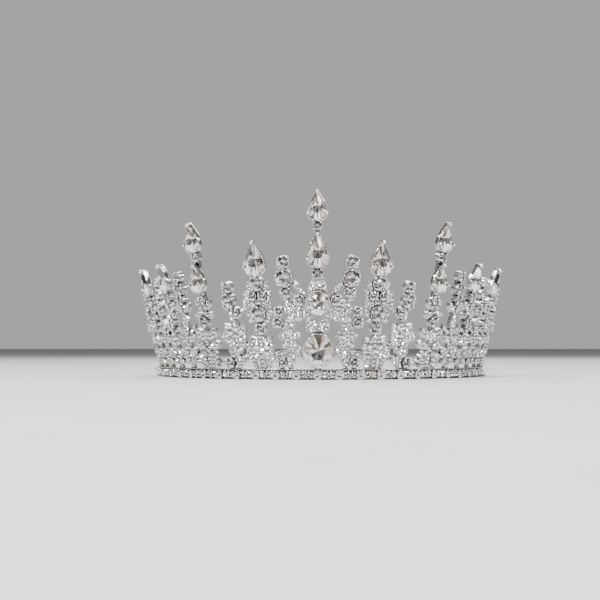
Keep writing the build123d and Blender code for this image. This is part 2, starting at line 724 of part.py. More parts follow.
oval_stone, oval_collet = oval_pieces(oval_width, oval_length, (50, 130, 230, 310))
round_big, round_collet = oval_pieces(centre_round_diameter, centre_round_diameter, (45, 135, 225, 315))
lift = big_setting_lift
keep("centre_oval_stone",
     group([(oval_stone, panel_plane(0, 0, oval_middle, lift + setting_depth))]))
keep("centre_oval_setting", group([(oval_collet, panel_plane(0, 0, oval_middle, lift))]))
keep("centre_round_stone",
     group([(round_big, panel_plane(0, 0, round_middle, lift + setting_depth))]))
keep("centre_round_setting", group([(round_collet, panel_plane(0, 0, round_middle, lift))]))

# ---- pavé on the leaves -------------------------------------------------------------------------
pave_steps = ((0.28, 0.25), (0.52, 0.32), (0.75, 0.24))  # place along a leaf, radius over its width
pave_least = 0.5
pave_margin = 0.12
pear_margin = 1.0


def pave_for_panel(column, low, high):
    """Flat-backed stones on one panel's leaves, clear of its cups, edges and of each other."""
    column_angle = column_angles[column - 1]
    taken = [(x, z / upright, radius + cup_wall + 2 * prong_radius) for k, x, z, radius in cups
             if k == column]
    taken += [(0, z / upright + pear_size(big)[1] / 2, pear_size(big)[1] / 2 + pear_margin)
              for k, z, big in pears if k == column]
    found = []
    for angle, height, direction, length, width in leaves:
        if not low <= angle <= high:
            continue
        x0, y0 = local_point(angle, height, column_angle)
        for share, size in pave_steps:
            radius = size * width
            x = x0 + share * length * cos(radians(direction))
            y = y0 + share * length * sin(radians(direction))
            z = y * upright
            room_low = x - wall_radius(z) * tan(radians(low - column_angle))
            room_high = wall_radius(z) * tan(radians(high - column_angle)) - x
            near = any(hypot(x - tx, y - ty) < radius + tr + pave_margin for tx, ty, tr in taken)
            room = min(room_low, room_high, z - rail_top) - radius
            if radius < pave_least or room < pave_margin or near or z > tall_panel_top:
                continue
            taken.append((x, y, radius))
            found.append((round(radius, 2), x, z))
    return found


pave_stones = {}


def pave_group(column_numbers):
    placed = []
    for number in column_numbers:
        for radius, x, z in pave_for_panel(number, edges[number - 1], edges[number]):
            if radius not in pave_stones:
                pave_stones[radius] = flat_back_stone(radius)
            placed.append((pave_stones[radius], panel_plane(number, x, z, leaf_relief)))
    return group(placed)


keep_both_sides("front_pave_stones", pave_group(range(1, 5)))
keep_both_sides("rear_pave_stones", pave_group(range(5, 11)))

# ---- centre the model and write it --------------------------------------------------------------
deepest = max(part.bounding_box().max.Y for part in pieces.values())
foremost = min(part.bounding_box().min.Y for part in pieces.values())
shift = Location((0, -(deepest + foremost) / 2, 0))

os.makedirs("parts", exist_ok=True)
for name, part in pieces.items():
    part.locate(shift * part.location)
    part.label = name
    export_step(part, f"parts/{name}.step")
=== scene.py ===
"""Bridal tiara: cut crystals, claws, pavé leaves, finishes, floor, light and camera.

Everything is in metres in the row's frame: the wearer's front is -Y and +Z is up. Angles round the
wall are in degrees from the front centre, positive towards +X. Sizes are written in millimetres
and scaled by MM when a mesh is made.
"""

from math import atan2, cos, degrees, hypot, pi, radians, sin, tan

import bmesh
import bpy
import numpy as np
from mathutils import Matrix, Vector
from mathutils.kdtree import KDTree


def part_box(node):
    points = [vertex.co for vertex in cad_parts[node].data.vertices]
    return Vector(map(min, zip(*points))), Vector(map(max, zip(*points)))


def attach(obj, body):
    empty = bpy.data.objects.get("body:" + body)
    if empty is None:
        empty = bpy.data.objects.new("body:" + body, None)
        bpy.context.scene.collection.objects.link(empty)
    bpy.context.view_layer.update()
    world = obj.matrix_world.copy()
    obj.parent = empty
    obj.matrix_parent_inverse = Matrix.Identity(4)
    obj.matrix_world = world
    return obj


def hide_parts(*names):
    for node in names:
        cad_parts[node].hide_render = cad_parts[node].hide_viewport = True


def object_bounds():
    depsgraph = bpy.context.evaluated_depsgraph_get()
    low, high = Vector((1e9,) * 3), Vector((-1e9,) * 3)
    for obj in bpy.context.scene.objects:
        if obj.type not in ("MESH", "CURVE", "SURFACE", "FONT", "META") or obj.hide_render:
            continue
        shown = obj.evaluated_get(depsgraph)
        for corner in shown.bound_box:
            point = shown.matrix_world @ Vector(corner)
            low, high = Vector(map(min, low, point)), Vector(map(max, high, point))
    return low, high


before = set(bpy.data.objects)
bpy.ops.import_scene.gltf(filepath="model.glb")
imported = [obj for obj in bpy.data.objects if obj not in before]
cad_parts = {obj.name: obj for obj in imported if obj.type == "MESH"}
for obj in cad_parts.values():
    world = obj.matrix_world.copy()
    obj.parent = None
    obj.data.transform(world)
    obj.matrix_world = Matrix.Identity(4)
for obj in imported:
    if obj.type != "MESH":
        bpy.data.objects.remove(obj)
cad_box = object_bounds()

MM = 0.001
random = np.random.default_rng(7)

# ---- the wall, from the frame --------------------------------------------------------------------
BAND_LOW, BAND_HIGH = (np.array(corner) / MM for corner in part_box("base_band"))
FLARE = radians(11.5)
BAND_HEIGHT = BAND_HIGH[2] - BAND_LOW[2]
BAND_RADIUS = 65.0
AXIS_Y = BAND_LOW[1] + BAND_HEIGHT * tan(FLARE) + BAND_RADIUS
LEAF_RELIEF = 0.35      # leaves stand this far proud of their panel
CUP_HEIGHT = 1.0
SETTING_DEPTH = 1.7
COLUMN_ANGLES = [0.0, 9.4, 17.5, 26.9, 36.8, 45.5, 52.5, 59.5, 66.5, 74.0, 82.0]
CENTRE_EDGE = 3.4       # half the centre panel's angle
LAST_EDGE = 86.5
BETWEEN = [(a + b) / 2 for a, b in zip(COLUMN_ANGLES[1:], COLUMN_ANGLES[2:])]
EDGES = [CENTRE_EDGE] + BETWEEN + [LAST_EDGE]
RIM_SHARE = 0.98        # a stone's vertices this far out, or further, are its girdle


def wall_frame(angle):
    """Matrix at the foot of the wall's face: x right seen from outside, y up the wall, z outward (mm)."""
    a = radians(angle)
    out = Vector((sin(a), -cos(a), 0))
    along = Vector((cos(a), sin(a), 0))
    normal = out * cos(FLARE) - Vector((0, 0, 1)) * sin(FLARE)
    up = normal.cross(along)
    matrix = Matrix((along, up, normal)).transposed().to_4x4()
    matrix.translation = out * BAND_RADIUS + Vector((0, AXIS_Y, 0))
    return matrix


def turned(matrix, angle):
    return matrix @ Matrix.Rotation(angle, 4, "Z")


def shifted(matrix, x, y, z):
    return matrix @ Matrix.Translation((x, y, z))


def leaning(angle, tilt):
    """Turn of a claw at an angle round its stone, tipped over the stone's edge by tilt degrees."""
    return Matrix.Rotation(angle, 4, "Z") @ Matrix.Rotation(radians(-tilt), 4, "Y")


def angle_of(points):
    """Angle round the wall of the middle of some points."""
    x, y = points.mean(0)[:2]
    return degrees(atan2(x, AXIS_Y - y))


def column_of(points):
    """Angle of the column whose panel holds a stone, from the panel edges either side of it."""
    angle = angle_of(points)
    side = -1 if angle < 0 else 1
    for column, edge in zip(COLUMN_ANGLES, EDGES):
        if abs(angle) < edge:
            return side * column
    return side * COLUMN_ANGLES[-1]


# ---- mesh building --------------------------------------------------------------------------------
class Shape:
    """Vertices, faces and material numbers of one template, in its own millimetres."""

    def __init__(self, vertices, faces, slots=None, smooth=False):
        self.vertices = np.array(vertices, float)
        self.faces = faces
        self.slots = slots or [0] * len(faces)
        self.smooth = smooth


class Piece:
    """Copies of templates gathered into one mesh object."""

    def __init__(self):
        self.vertices, self.faces, self.slots, self.smooth = [], [], [], []
        self.count = 0

    def add(self, shape, matrix, scale=(1, 1, 1)):
        m = np.array(matrix)
        points = (shape.vertices * scale) @ m[:3, :3].T + m[:3, 3]
        self.vertices.append(points * MM)
        self.faces += [tuple(i + self.count for i in face) for face in shape.faces]
        self.slots += shape.slots
        self.smooth += [shape.smooth] * len(shape.faces)
        self.count += len(points)

    def build(self, name, materials, slot, replaces=()):
        mesh = bpy.data.meshes.new(name)
        mesh.from_pydata(np.concatenate(self.vertices).tolist(), [], self.faces)
        mesh.validate()
        mesh.polygons.foreach_set("material_index", self.slots)
        mesh.polygons.foreach_set("use_smooth", self.smooth)
        for material in materials:
            mesh.materials.append(material)
        mesh.update()
        piece = bpy.data.objects.new(name, mesh)
        bpy.context.collection.objects.link(piece)
        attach(piece, "root")
        if replaces:
            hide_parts(*replaces)


def ring(outline, share, height):
    return [(x * share, y * share, height) for x, y in outline]


STAR_OUT = 0.02         # star corners stand this much outside the middle of table and girdle
STAR_RISE = 0.52        # and this share of the way up the crown
DEEP_REACH = 0.40       # pavilion corners, as a share of the outline
DEEP_DROP = 0.66        # and of the pavilion's depth


def brilliant(outline, table, crown, girdle, pavilion, small=False):
    """A brilliant cut over an outline with 2n corners: slot 0 in front, slots 1 to 3 on the back.

    A small stone has only slots 0 and 1, and slot 1, painted shade, also takes some of its crown's facets.
    """
    n = len(outline) // 2
    main, half = outline[0::2], outline[1::2]
    rows = [ring(main, table, crown), ring(half, (1 + table) / 2 + STAR_OUT, crown * STAR_RISE),
            ring(outline, 1.0, girdle / 2), ring(outline, 1.0, -girdle / 2),
            ring(half, DEEP_REACH, -pavilion * DEEP_DROP), [(0, 0, -pavilion)]]
    points, start = [], []
    for row in rows:
        start.append(len(points))
        points += row
    top, star, upper, lower, deep, culet = start
    faces, slots = [tuple(range(top, top + n))], [0]

    def face(*corners, slot=0):
        faces.append(corners[::-1])
        slots.append(min(slot, 1) if small else slot)

    # On a small stone every other kite and half the upper girdle facets take slot 1, painted shade.
    crown_slot = 1 if small else 0
    for i in range(n):
        after, before = (i + 1) % n, (i - 1) % n
        g0, g1, g2 = 2 * i, 2 * i + 1, (2 * i + 2) % (2 * n)
        face(top + i, star + i, top + after)
        face(top + i, star + before, upper + g0, star + i, slot=crown_slot * (i % 2))
        face(star + i, upper + g0, upper + g1, slot=crown_slot)
        face(star + i, upper + g1, upper + g2)
        face(upper + g0, lower + g0, lower + g1, upper + g1)
        face(upper + g1, lower + g1, lower + g2, upper + g2)
        # Back facets spread over slots 1 to 3, so that the copies of a material put there give them painted
        # reflections of different brightness.
        face(lower + g0, deep + i, lower + g1, slot=1 + (i + 1) % 3)
        face(lower + g1, deep + i, lower + g2, slot=1 + i % 2)
        face(lower + g0, deep + before, culet, deep + i, slot=1 + 2 * (i % 2))
    return Shape(points, faces, slots)


def round_outline(corners):
    return [(cos(2 * pi * i / corners), sin(2 * pi * i / corners)) for i in range(corners)]


def oval_outline(width, length, corners):
    return [(width / 2 * x, length / 2 * y) for x, y in round_outline(corners)]


PEAR_POINT = 1.3        # the higher, the sharper the tip


def pear_outline(width, length, corners, grow=0.0):
    """Tip up, from the same teardrop curve as the model's stones."""
    steps = [2 * pi * i / corners for i in range(corners)]
    raw = [sin(t) * abs(sin(t / 2)) ** PEAR_POINT for t in steps]
    scale = (width / 2 + grow) / max(raw)
    return [(-scale * r, (length / 2 + grow) * cos(t)) for r, t in zip(raw, steps)]


def half_circle(steps):
    """Profile of a ball of radius 1, from its lowest point to its highest."""
    angles = [-pi / 2 + pi * i / steps for i in range(steps + 1)]
    return [(cos(a), sin(a)) for a in angles]


def lathe(profile, sides):
    """A closed turned shape; the profile runs from the axis at the bottom to the axis at the top."""
    inner = profile[1:-1]
    points = [(0, 0, profile[0][1])]
    for r, z in inner:
        points += [(r * x, r * y, z) for x, y in round_outline(sides)]
    points.append((0, 0, profile[-1][1]))
    faces = []
    last = len(points) - 1
    for i in range(sides):
        j = (i + 1) % sides
        faces.append((0, 1 + j, 1 + i))
        for k in range(len(inner) - 1):
            a, b = 1 + k * sides, 1 + (k + 1) * sides
            faces.append((a + i, a + j, b + j, b + i))
        faces.append((last, last - sides + i, last - sides + j))
    return Shape(points, faces, smooth=True)


# templates of radius 1, scaled where they are placed
ROUND_GEM = brilliant(round_outline(16), table=0.56, crown=0.32, girdle=0.05, pavilion=0.86)
PAVE_GEM = brilliant(round_outline(12), table=0.46, crown=0.62, girdle=0.30, pavilion=0.16, small=True)
BEAD = lathe(half_circle(8), 12)
GRAIN = lathe([(0, -0.5), (0.98, -0.5), (1.0, 0.0), (0.87, 0.5), (0.5, 0.87), (0, 1.0)], 9)
CLAW = lathe([(0, 0), (0.62, 0), (0.58, 1.0), (0.85, 1.35), (1.0, 1.7), (0.92, 2.05), (0.6, 2.35),
              (0, 2.5)], 10)


# ---- materials ------------------------------------------------------------------------------------
def new_material(name):
    material = bpy.data.materials.new(name)
    material.use_nodes = True
    nodes = material.node_tree.nodes
    return material, nodes, material.node_tree.links, nodes["Principled BSDF"]


def noise(nodes, links, scale, detail, rough):
    """Noise over the object's own coordinates; scale is in features per metre."""
    place = nodes.new("ShaderNodeTexCoord")
    texture = nodes.new("ShaderNodeTexNoise")
    texture.inputs["Scale"].default_value = scale
    texture.inputs["Detail"].default_value = detail
    texture.inputs["Roughness"].default_value = rough
    links.new(place.outputs["Object"], texture.inputs["Vector"])
    return texture.outputs["Fac"]


def ramp(nodes, links, source, stops):
    node = nodes.new("ShaderNodeValToRGB")
    elements = node.color_ramp.elements
    while len(elements) < len(stops):
        elements.new(0.5)
    for element, (position, colour) in zip(elements, stops):
        element.position = position
        element.color = (*colour, 1)
    links.new(source, node.inputs["Fac"])
    return node.outputs["Color"]


def spread(nodes, links, source, low, high, start=0.0):
    """A value from start to 1 brought to the range from low to high."""
    node = nodes.new("ShaderNodeMapRange")
    node.inputs["From Min"].default_value = start
    node.inputs["To Min"].default_value = low
    node.inputs["To Max"].default_value = high
    links.new(source, node.inputs["Value"])
    return node.outputs["Result"]


def bump(nodes, links, source, strength, distance, shader):
    node = nodes.new("ShaderNodeBump")
    node.inputs["Strength"].default_value = strength
    node.inputs["Distance"].default_value = distance
    links.new(source, node.inputs["Height"])
    links.new(node.outputs["Normal"], shader.inputs["Normal"])


# Painted shade: a warm dark tone multiplied into the metal where nearby surfaces hem it in.
PAINTED_SHADE_REACH = 0.0011           # metres: how far round a point its neighbours darken it
PAINTED_SHADE_DARK = (0.045, 0.036, 0.03)


def with_painted_shade(nodes, links, colour, painted_shade):
    """Painted shade in the recesses, as a warm dark tone where the surface is hemmed in."""
    hollow = nodes.new("ShaderNodeAmbientOcclusion")
    hollow.samples = 6
    hollow.inputs["Distance"].default_value = PAINTED_SHADE_REACH
    tone = ramp(nodes, links, hollow.outputs["AO"], [(0.42, painted_shade), (0.95, (1, 1, 1))])
    mix = nodes.new("ShaderNodeMix")
    mix.data_type = "RGBA"
    mix.blend_type = "MULTIPLY"
    mix.inputs["Factor"].default_value = 1.0
    links.new(colour, mix.inputs["A"])
    links.new(tone, mix.inputs["B"])
    return mix.outputs["Result"]


PATCH_SCALE, SCUFF_SCALE = 260, 2600
RIPPLE_STRENGTH = 0.55


def metal(name, bright, dull, roughness, ripple_scale, ripple_depth, painted_shade=PAINTED_SHADE_DARK):
    """Rhodium plate: patches of slightly duller tone, soft casting ripple, fine scuffs and painted shade in
    its recesses.
    """
    material, nodes, links, shader = new_material(name)
    shader.inputs["Metallic"].default_value = 1.0
    tone = ramp(nodes, links, noise(nodes, links, PATCH_SCALE, 5, 0.6), [(0.30, dull), (0.62, bright)])
    links.new(with_painted_shade(nodes, links, tone, painted_shade), shader.inputs["Base Color"])
    scuffs = noise(nodes, links, SCUFF_SCALE, 3, 0.65)
    links.new(spread(nodes, links, scuffs, *roughness), shader.inputs["Roughness"])
    bump(nodes, links, noise(nodes, links, ripple_scale, 3, 0.5), RIPPLE_STRENGTH, ripple_depth, shader)
    return material


def cloudy(nodes, links, shader, cloud, stops, roughness):
    """Colour and roughness that drift together over one noise texture."""
    links.new(ramp(nodes, links, cloud, stops), shader.inputs["Base Color"])
    links.new(spread(nodes, links, cloud, *roughness), shader.inputs["Roughness"])


def foil(name, bright, shade, rough):
    """The silvered back of a crystal, with faint cloudy patches; its dim and dark copies are painted
    reflections.
    """
    material, nodes, links, shader = new_material(name)
    shader.inputs["Metallic"].default_value = 1.0
    cloud = noise(nodes, links, 420, 3, 0.5)
    cloudy(nodes, links, shader, cloud, [(0.35, shade), (0.62, bright)], (rough, rough * 2.2))
    return material


def crystal(name, tint, shade):
    """Clear cut crystal with a faint tint and a trace of polishing haze."""
    material, nodes, links, shader = new_material(name)
    shader.inputs["Transmission Weight"].default_value = 1.0
    shader.inputs["IOR"].default_value = 1.58
    haze = noise(nodes, links, 700, 3, 0.6)
    cloudy(nodes, links, shader, haze, [(0.3, shade), (0.7, tint)], (0.0, 0.035))
    return material


def sparkle(name, deep, pale, flash):
    """Small foiled crystal, seen as facets that each seem to catch the light on their own: a pale copy
    gives silver foil with painted flashes of colour, a dark copy gives painted shade.
    """
    material, nodes, links, shader = new_material(name)
    shader.inputs["Metallic"].default_value = 0.9
    shader.inputs["Coat Weight"].default_value = 1.0
    shader.inputs["Coat Roughness"].default_value = 0.02
    cloud = noise(nodes, links, 900, 2, 0.5)
    cloudy(nodes, links, shader, cloud, [(0.30, deep), (0.5, pale), (0.68, flash)], (0.03, 0.12))
    return material


CAST = metal("rhodium_cast", (0.70, 0.68, 0.66), (0.46, 0.43, 0.40), (0.12, 0.32), 1500, 0.00009)
POLISHED = metal("rhodium_polished", (0.86, 0.85, 0.84), (0.66, 0.64, 0.61), (0.05, 0.20), 900, 0.00004)
# The band's metal takes a lighter painted shade in its recesses.
STRIP = metal("rhodium_strip", (0.70, 0.68, 0.66), (0.50, 0.47, 0.44), (0.14, 0.32), 1900, 0.00005,
              painted_shade=(0.22, 0.20, 0.18))
CLEAR = crystal("crystal_clear", (0.99, 0.985, 0.98), (0.93, 0.91, 0.89))
CLEAR_ROUND = crystal("crystal_round", (0.98, 0.975, 1.0), (0.93, 0.92, 0.96))
# Silver foil, and dim and dark copies of it as painted reflections, for the back facets of cut stones.
FOILS_AND_PAINTED_REFLECTIONS = [foil("foil_bright", (0.97, 0.96, 0.94), (0.80, 0.77, 0.73), 0.02),
         foil("foil_painted_dim_reflection", (0.52, 0.47, 0.42), (0.34, 0.30, 0.26), 0.02),
         foil("foil_painted_dark_reflection", (0.16, 0.135, 0.115), (0.07, 0.058, 0.05), 0.03)]
ROUND_FOILS_AND_PAINTED_REFLECTIONS = [foil("foil_round_bright", (1.0, 0.99, 1.0), (0.92, 0.90, 0.97), 0.03),
               foil("foil_round_painted_dim_reflection", (0.94, 0.92, 0.99), (0.82, 0.80, 0.86), 0.03),
               foil("foil_round_painted_dark_reflection", (0.74, 0.72, 0.79), (0.50, 0.49, 0.53), 0.03)]
# Pavé facets: a pale copy with painted flashes of colour, and a dark copy that is painted shade on
# alternate facets.
SPARKLE = sparkle("crystal_sparkle", (0.78, 0.75, 0.74), (0.97, 0.96, 0.98), (0.93, 0.91, 1.0))
PAVE_PAINTED_SHADE = sparkle("crystal_shadow", (0.20, 0.18, 0.17), (0.42, 0.40, 0.41), (0.50, 0.48, 0.56))
ROUND_FINISH = [CLEAR_ROUND, *ROUND_FOILS_AND_PAINTED_REFLECTIONS]

# ---- CAD nodes that stay --------------------------------------------------------------------------
for name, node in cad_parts.items():
    on_band = name.startswith("band_") or name == "base_band" or name.endswith("loop")
    for material_slot in node.material_slots:
        material_slot.material = STRIP if on_band else CAST


# ---- stones, read from the frame's nodes ----------------------------------------------------------
def islands(node_name):
    """Vertex positions of each separate solid in a CAD node, in millimetres."""
    work = bmesh.new()
    work.from_mesh(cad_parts[node_name].data)
    bmesh.ops.remove_doubles(work, verts=work.verts, dist=1e-6)
    seen, found = set(), []
    for vertex in work.verts:
        if vertex in seen:
            continue
        stack, group = [vertex], []
        seen.add(vertex)
        while stack:
            here = stack.pop()
            group.append(here.co / MM)
            for edge in here.link_edges:
                other = edge.other_vert(here)
                if other not in seen:
                    seen.add(other)
                    stack.append(other)
        found.append(np.array(group))
    work.free()
    return found


def seated(points, angle):
    """Girdle centre matrix and radius of a round stone whose axis is the wall's normal at angle."""
    matrix = wall_frame(angle)
    turn = np.array(matrix)[:3, :3]
    local = points @ turn
    middle = (local.min(0) + local.max(0)) / 2
    radius = (local[:, 0].max() - local[:, 0].min()) / 2
    reach = np.hypot(local[:, 0] - middle[0], local[:, 1] - middle[1])
    girdle = local[reach > radius * RIM_SHARE][:, 2].mean()
    matrix.translation = Vector(turn @ np.array([middle[0], middle[1], girdle]))
    return matrix, radius


SPIRE_SWELL = 1.12
LARGE_ROUND = 1.9       # round stones over this radius have five claws, the rest four
PRONG_GAP = 0.30        # a claw's middle stands this far outside its stone
ROUND_CLAW = 0.46       # a claw's width at its tip
ROUND_CLAW_STRETCH = 1.55
ROUND_CLAW_FOOT = CUP_HEIGHT * 0.9      # under the stone's girdle
ROUND_CLAW_TILT = 9     # degrees
claws = Piece()


def add_round_claws(matrix, radius, count):
    """Claws up the cup's side with their round tips over the stone's edge."""
    start = pi / 2 if count % 2 else pi / count
    for i in range(count):
        angle = start + 2 * pi * i / count
        x, y = (radius + PRONG_GAP) * cos(angle), (radius + PRONG_GAP) * sin(angle)
        foot = shifted(matrix, x, y, -ROUND_CLAW_FOOT)
        claws.add(CLAW, foot @ leaning(angle, ROUND_CLAW_TILT),
                  (ROUND_CLAW, ROUND_CLAW, ROUND_CLAW * ROUND_CLAW_STRETCH))


def set_rounds(group, swell=1.0):
    """Cut stones and claws in place of a node's round stones."""
    gems = Piece()
    for points in islands(f"{group}_stones"):
        matrix, radius = seated(points, column_of(points))
        claw_count = 5 if radius > LARGE_ROUND else 4
        radius *= swell
        gems.add(ROUND_GEM, turned(matrix, random.uniform(0, pi)), (radius, radius, radius))
        add_round_claws(matrix, radius, claw_count)
    gems.build(f"{group}_crystals", ROUND_FINISH, "round_crystal", [f"{group}_stones"])


for part in ("front", "rear"):
    for side in ("left", "right"):
        set_rounds(f"{side}_{part}_round")
set_rounds("spire_round", SPIRE_SWELL)

# ---- the band's stones, with small stones and beads between them ------------------------------------
BAND_CLAW = 0.32        # radius of the beads that hold a stone
BAND_CLAW_STRETCH = 1.3
BAND_BEAD = 0.40        # radius of the beads between stones
BAND_BEAD_STRETCH = 2
BAND_LIFT = 0.30        # the band's stones stand this far proud of their cups
BAND_RAISE = 0.16       # and this far up their cups' faces, clear of the floor
CLAW_RISE = 0.10        # middle of a bead claw over the stone's girdle
SPACER_BEADS = ((0.0, -1.15), (-0.72, 1.1), (0.72, 1.1), (-1.0, -0.72), (1.0, -0.72))
SPACER_GEMS = ((-1.52, 0.66), (1.52, 0.66), (-1.55, -0.58), (1.55, -0.58))
SPACER_GEM = 0.58       # radius
SPACER_POST_DROP = 2.4 * BAND_LIFT
SPACER_POST_HALF = 0.75
band_beads, band_pave = Piece(), Piece()


def fill_band(matrix):
    """Beads round a small stone, and four stones on posts either side of it."""
    for x, y in SPACER_BEADS:
        band_beads.add(BEAD, shifted(matrix, x, y, -BAND_LIFT),
                       (BAND_BEAD, BAND_BEAD, BAND_BEAD * BAND_BEAD_STRETCH))
    for x, y in SPACER_GEMS:
        band_beads.add(BEAD, shifted(matrix, x, y, -SPACER_POST_DROP),
                       (SPACER_GEM, SPACER_GEM, SPACER_POST_HALF))
        band_pave.add(PAVE_GEM, turned(shifted(matrix, x, y, -BAND_LIFT), random.uniform(0, pi)),
                      (SPACER_GEM, SPACER_GEM, SPACER_GEM))


def set_band_stones(size, swell):
    gems = Piece()
    for points in islands(f"band_stones_{size}"):
        matrix, radius = seated(points, angle_of(points))
        matrix = shifted(matrix, 0, BAND_RAISE, BAND_LIFT)
        girdle = radius * swell
        gems.add(ROUND_GEM, turned(matrix, random.uniform(0, pi)), (girdle, girdle, radius))
        for i in range(4):
            angle = pi / 4 + pi / 2 * i
            tip = shifted(matrix, girdle * cos(angle), girdle * sin(angle), CLAW_RISE)
            band_beads.add(BEAD, tip, (BAND_CLAW, BAND_CLAW, BAND_CLAW * BAND_CLAW_STRETCH))
        if size == "small":
            fill_band(matrix)
    gems.build(f"band_crystals_{size}", ROUND_FINISH, "small_crystal", [f"band_stones_{size}"])


set_band_stones("large", 1.2)
set_band_stones("small", 1.15)
band_beads.build("band_beads", [POLISHED], "band_metal")
band_pave.build("band_pave_crystals", [SPARKLE, PAVE_PAINTED_SHADE], "small_crystal")

# ---- big stones and their settings ----------------------------------------------------------------
COLLET_RIM = 0.55       # wall thickness near the lip
COLLET_INSIDE = 1.25    # and how much thicker it is below
BIG_CROWN = 0.17        # height of a big stone's crown, as a share of its width
BACK_GAP = 0.15         # between a big stone's culet and its setting's back
BIG_CLAW_TILT = 7       # degrees
BIG_CLAW_FOOT = 0.2     # over the setting's back
BIG_CLAW_STRETCH = 1.9
KEEP_OUT_MARGIN = 0.3
keep_out = []           # big stones in front of a panel: (matrix, half width, half height)


def collet(outline, depth):
    """An open wall round a stone: a rounded lip, a waist and a flared foot, swept round an outline."""
    profile = [(0.0, 0.0), (0.0, 0.35), (-0.16, 0.62), (-0.05, depth * 0.72), (0.0, depth * 0.92),
               (-0.10, depth), (-0.30, depth), (-COLLET_RIM, depth * 0.80),
               (-COLLET_RIM * COLLET_INSIDE, depth * 0.4), (-COLLET_RIM * COLLET_INSIDE, 0.0)]
    count, steps = len(outline), len(profile)
    points = []
    for x, y in outline:
        reach = hypot(x, y)
        points += [(x + x / reach * grow, y + y / reach * grow, z) for grow, z in profile]
    faces = []
    for i in range(count):
        j = (i + 1) % count
        for k in range(steps):
            m = (k + 1) % steps
            faces.append((i * steps + k, j * steps + k, j * steps + m, i * steps + m))
    return Shape(points, faces, smooth=True)


def big_stone(name, stone_node, setting_node, places, outline, grown, claw_spots, foils):
    """Cut stones with collets and claws at each of places, whose origin is the setting's back."""
    width, height = (2 * max(corner[axis] for corner in outline) for axis in (0, 1))
    gem = brilliant(outline, table=0.50, crown=BIG_CROWN * width, girdle=0.18,
                    pavilion=SETTING_DEPTH - BACK_GAP)
    wall = collet(grown, SETTING_DEPTH)
    gems, metalwork = Piece(), Piece()
    for matrix in places:
        gems.add(gem, shifted(matrix, 0, 0, SETTING_DEPTH))
        keep_out.append((matrix, width / 2 + KEEP_OUT_MARGIN, height / 2 + KEEP_OUT_MARGIN))
        metalwork.add(wall, matrix)
        for x, y, size in claw_spots:
            foot = shifted(matrix, x, y, BIG_CLAW_FOOT)
            metalwork.add(CLAW, foot @ leaning(atan2(y, x), BIG_CLAW_TILT),
                          (size, size, size * BIG_CLAW_STRETCH))
    gems.build(name, [CLEAR, *foils], "large_crystal", [stone_node])
    metalwork.build(f"{name}_claws", [POLISHED], "setting_metal", [setting_node])


def stone_back(points, angle):
    """Matrix at the middle of a big stone's outline, on its setting's back, and the stone's length."""
    matrix = wall_frame(angle)
    turn = np.array(matrix)[:3, :3]
    local = points @ turn
    middle = (local.min(0) + local.max(0)) / 2
    reach = np.abs(local[:, 0] - middle[0])
    girdle = local[reach > reach.max() * RIM_SHARE][:, 2].min()
    matrix.translation = Vector(turn @ np.array([middle[0], middle[1], girdle - SETTING_DEPTH]))
    return matrix, local[:, 1].max() - local[:, 1].min()


CORNERS = 20            # of a big stone's outline
LARGE_PEAR, SMALL_PEAR = (7.4, 12.0), (6.8, 10.0)
PEAR_COLLET = 0.42      # a collet's outside past the stone's edge


def pear_claws(width, length):
    """A ball claw at the tip, one each side of the belly and two at the foot."""
    spots = [(0, length / 2 + 0.15, 0.72)]
    for side in (-1, 1):
        spots.append((side * (width / 2 + 0.15), -length * 0.25, 0.60))
        spots.append((side * width * 0.24, -length / 2 + 0.1, 0.48))
    return spots


def set_pears(name, stone_node, setting_node):
    """Pears of a node in their two sizes; a node with both sizes makes a piece of each."""
    places = {LARGE_PEAR: [], SMALL_PEAR: []}
    for points in islands(stone_node):
        matrix, length = stone_back(points, angle_of(points))
        is_large = length > (LARGE_PEAR[1] + SMALL_PEAR[1]) / 2
        places[LARGE_PEAR if is_large else SMALL_PEAR].append(matrix)
    both = all(places.values())
    for size, label in ((LARGE_PEAR, "_large"), (SMALL_PEAR, "_small")):
        if places[size]:
            big_stone(name + (label if both else ""), stone_node, setting_node, places[size],
                      pear_outline(*size, CORNERS), pear_outline(*size, CORNERS, grow=PEAR_COLLET),
                      pear_claws(*size), FOILS_AND_PAINTED_REFLECTIONS)


for side in ("left", "right"):
    set_pears(f"{side}_pear_crystals", f"{side}_pear_stones", f"{side}_pear_settings")
for level in ("upper", "lower"):
    stem = f"centre_{level}_pear"
    set_pears(f"{stem}_crystal", f"{stem}_stone", f"{stem}_setting")

OVAL_COLLET = 0.45
OVAL_CLAW_OUT = 0.2
OVAL_CLAW = 0.5
CENTRE_STONES = (("oval", 10.0, 12.0, (52, 128, 232, 308)), ("round", 8.0, 8.0, (45, 135, 225, 315)))


def set_centre_stone(label, width, length, claw_angles):
    stem = f"centre_{label}"
    matrix, _ = stone_back(islands(f"{stem}_stone")[0], 0)
    spots = [((width / 2 + OVAL_CLAW_OUT) * cos(radians(a)), (length / 2 + OVAL_CLAW_OUT) * sin(radians(a)),
              OVAL_CLAW) for a in claw_angles]
    big_stone(f"{stem}_crystal", f"{stem}_stone", f"{stem}_setting", [matrix],
              oval_outline(width, length, CORNERS),
              oval_outline(width + 2 * OVAL_COLLET, length + 2 * OVAL_COLLET, CORNERS), spots, FOILS_AND_PAINTED_REFLECTIONS[::-1])


for stone in CENTRE_STONES:
    set_centre_stone(*stone)
claws.build("round_stone_claws", [POLISHED], "cast_metal")

